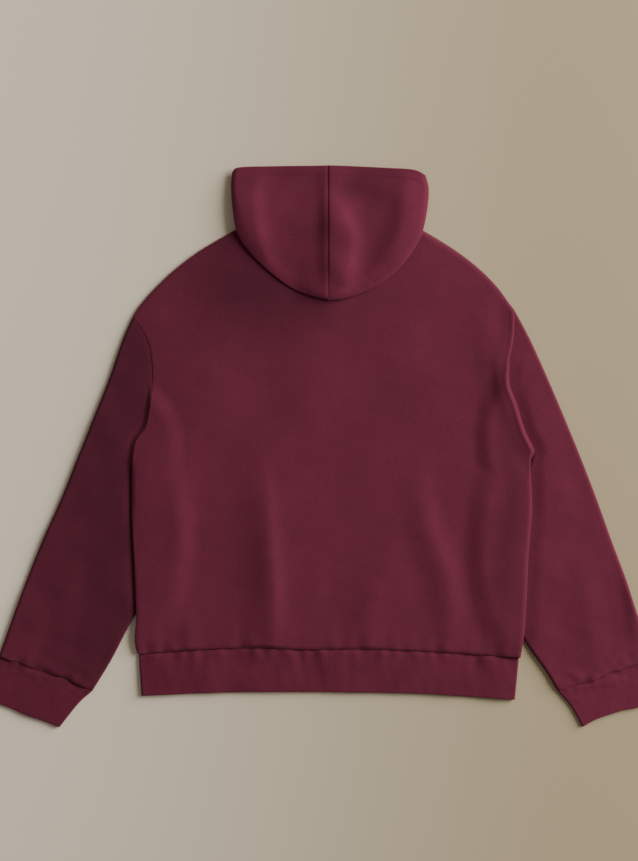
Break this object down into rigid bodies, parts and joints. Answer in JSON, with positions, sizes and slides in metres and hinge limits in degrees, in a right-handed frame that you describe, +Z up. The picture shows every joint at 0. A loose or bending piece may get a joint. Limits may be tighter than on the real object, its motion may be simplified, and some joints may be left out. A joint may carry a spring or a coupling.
{
  "type": "zip up hoodie",
  "caption": "Heavy fleece zip-up hoodie laid face down, with its hood spread on the back, dropped shoulders, ribbed cuffs and a ribbed hem band.",
  "frame": {"origin": "on the surface it lies on, under the middle of its bounding box; within a few millimetres this is on the line of the zip", "axes": "+Z up, out of the back panel, as the garment lies face down; +Y towards the hood and -Y towards the hem; +X towards the wearer's right sleeve"},
  "size_m": [1.014, 0.842, 0.0205],
  "materials": {
    "fleece": "soft matt cotton fleece with a short nap",
    "rib": "fine matt rib knit",
    "zip_tape": "woven polyester tape",
    "zip_metal": "tumbled nickel"
  },
  "bodies": {
    "garment": {"back": "fleece", "front_left": "fleece", "front_right": "fleece", "sleeve_left": "fleece", "sleeve_right": "fleece", "hood_left": "fleece", "hood_right": "fleece", "cuff_left": "rib", "cuff_right": "rib", "hem_band": "rib", "zip_tape_left": "zip_tape", "zip_tape_right": "zip_tape", "zip_slider": "zip_metal", "zip_box": "zip_metal"},
    "pull": {"zip_pull": "zip_metal"}
  },
  "joints": [
    {"name": "zip_pull_hinge", "type": "hinge", "parent": "garment", "child": "pull", "pos_m": [0, 0.247, 0.0024], "axis": [1, 0, 0], "range_deg": [0, 150]}
  ]
}
